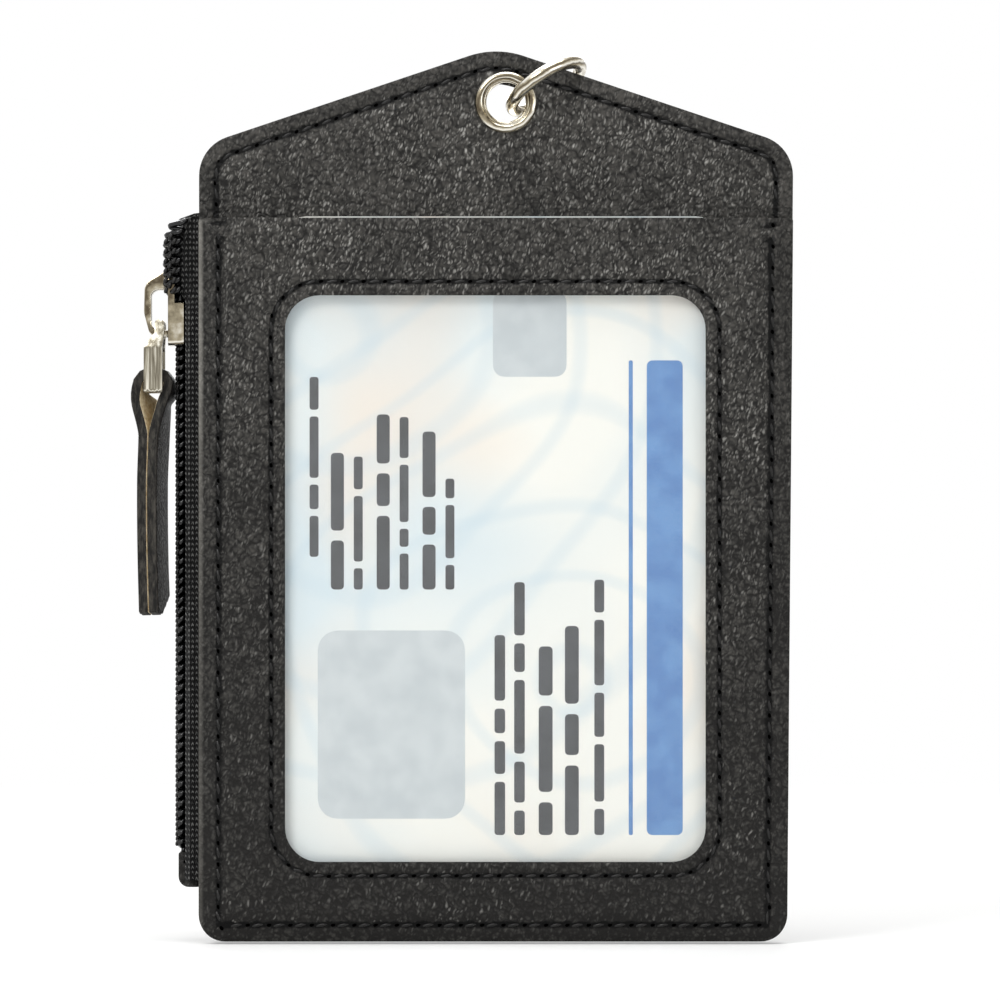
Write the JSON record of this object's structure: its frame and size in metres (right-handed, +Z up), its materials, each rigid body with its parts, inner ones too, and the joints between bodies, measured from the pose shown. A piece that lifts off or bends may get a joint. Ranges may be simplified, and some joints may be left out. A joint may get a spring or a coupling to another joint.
{
  "type": "id badge wallet",
  "caption": "Peaked leather badge wallet: clear window over a card, zipped pocket between divider and back, zip slider with a leather pull, eyelet and split jump ring at the peak.",
  "frame": {"origin": "middle of the eyelet in the peak, half way through the two layers of leather", "axes": "+X to the right as seen from the window side, +Y from the window side to the back, +Z up to the peak"},
  "size_m": [0.0808, 0.0143, 0.1088],
  "materials": {
    "leather": "pebbled, semi-gloss",
    "clear_vinyl": "clear, slightly hazy",
    "card": "satin",
    "lining_cloth": "matt weave",
    "nickel": "polished, slightly worn",
    "zip_tape": "matt weave",
    "zip_teeth": "glossy"
  },
  "bodies": {
    "wallet": {"window_panel": "leather", "clear_window": "clear_vinyl", "divider_panel": "leather", "divider_lining": "lining_cloth", "back_panel": "leather", "back_lining": "lining_cloth", "eyelet_barrel": "nickel", "eyelet_washer": "nickel", "zip_tape_front": "zip_tape", "zip_tape_back": "zip_tape", "zip_coil_front": "zip_teeth", "zip_coil_back": "zip_teeth", "zip_end_tab": "leather"},
    "card": {"id_card": "card"},
    "ring": {"jump_ring": "nickel"},
    "slider": {"slider_body": "nickel", "slider_bridge": "nickel"},
    "pull": {"pull_link": "nickel"},
    "strap": {"pull_strap": "leather"}
  },
  "joints": [
    {"name": "ring_swing", "type": "hinge", "parent": "wallet", "child": "ring", "pos_m": [0, 0, 0], "axis": [0, -1, 0], "range_deg": [0, 105]},
    {"name": "card_slide", "type": "slide", "parent": "wallet", "child": "card", "axis": [0, 0, 1], "range_m": [0, 0.0095]},
    {"name": "zip_slider_travel", "type": "slide", "parent": "wallet", "child": "slider", "axis": [0, 0, -1], "range_m": [0, 0.0615], "deforming": ["zip_coil_front", "zip_coil_back"]},
    {"name": "pull_swing", "type": "hinge", "parent": "slider", "child": "pull", "pos_m": [-0.04253, 0.004, -0.02701], "axis": [0, 1, 0], "range_deg": [0, 135]},
    {"name": "strap_swing", "type": "hinge", "parent": "pull", "child": "strap", "pos_m": [-0.04325, 0.004, -0.03476], "axis": [0, 1, 0], "range_deg": [0, 50]}
  ]
}
